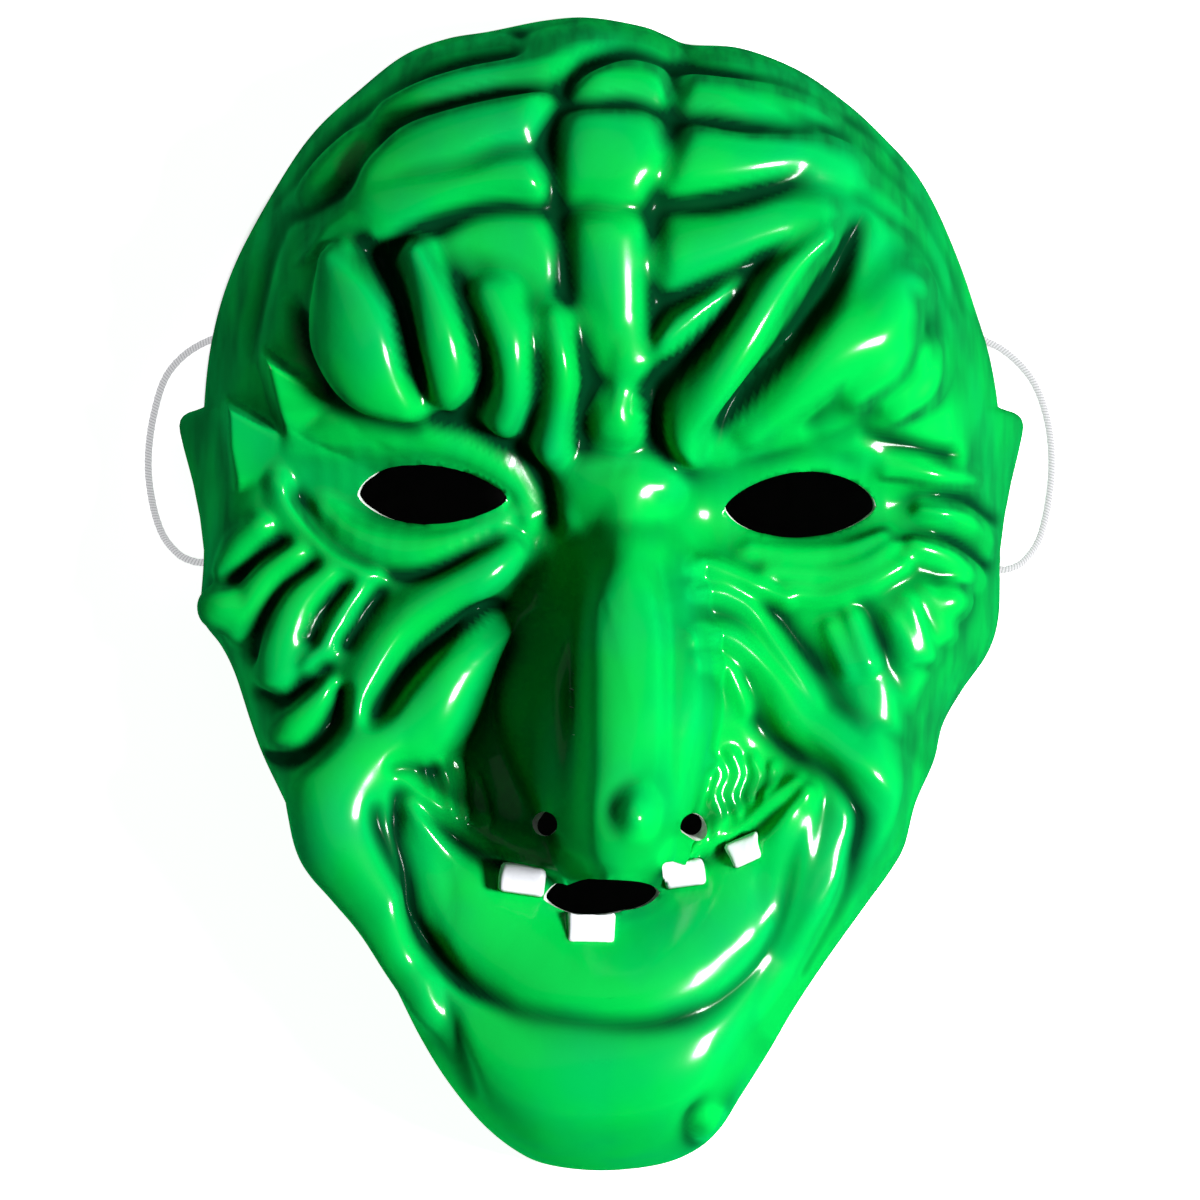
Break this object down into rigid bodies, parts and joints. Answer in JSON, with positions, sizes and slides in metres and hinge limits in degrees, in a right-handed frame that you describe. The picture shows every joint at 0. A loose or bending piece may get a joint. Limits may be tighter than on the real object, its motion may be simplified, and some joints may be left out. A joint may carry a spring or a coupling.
{
  "type": "monster mask",
  "caption": "Moulded half-shell monster face mask with eye, mouth and nostril holes and a thin elastic, lying face up on its rim.",
  "frame": {"origin": "middle of the rim's plane, under the middle of the shell", "axes": "+Z out of the face, +Y towards the crown, +X to the right of someone looking at the face"},
  "size_m": [0.1905, 0.2401, 0.0924],
  "materials": {
    "green_pvc": "glossy moulded green with darker green creases and white painted teeth",
    "grey_elastic": "round braided elastic"
  },
  "bodies": {
    "root": {"mask_shell": "green_pvc", "elastic_cord": "grey_elastic", "elastic_knot_left": "grey_elastic", "elastic_knot_right": "grey_elastic"}
  },
  "joints": []
}
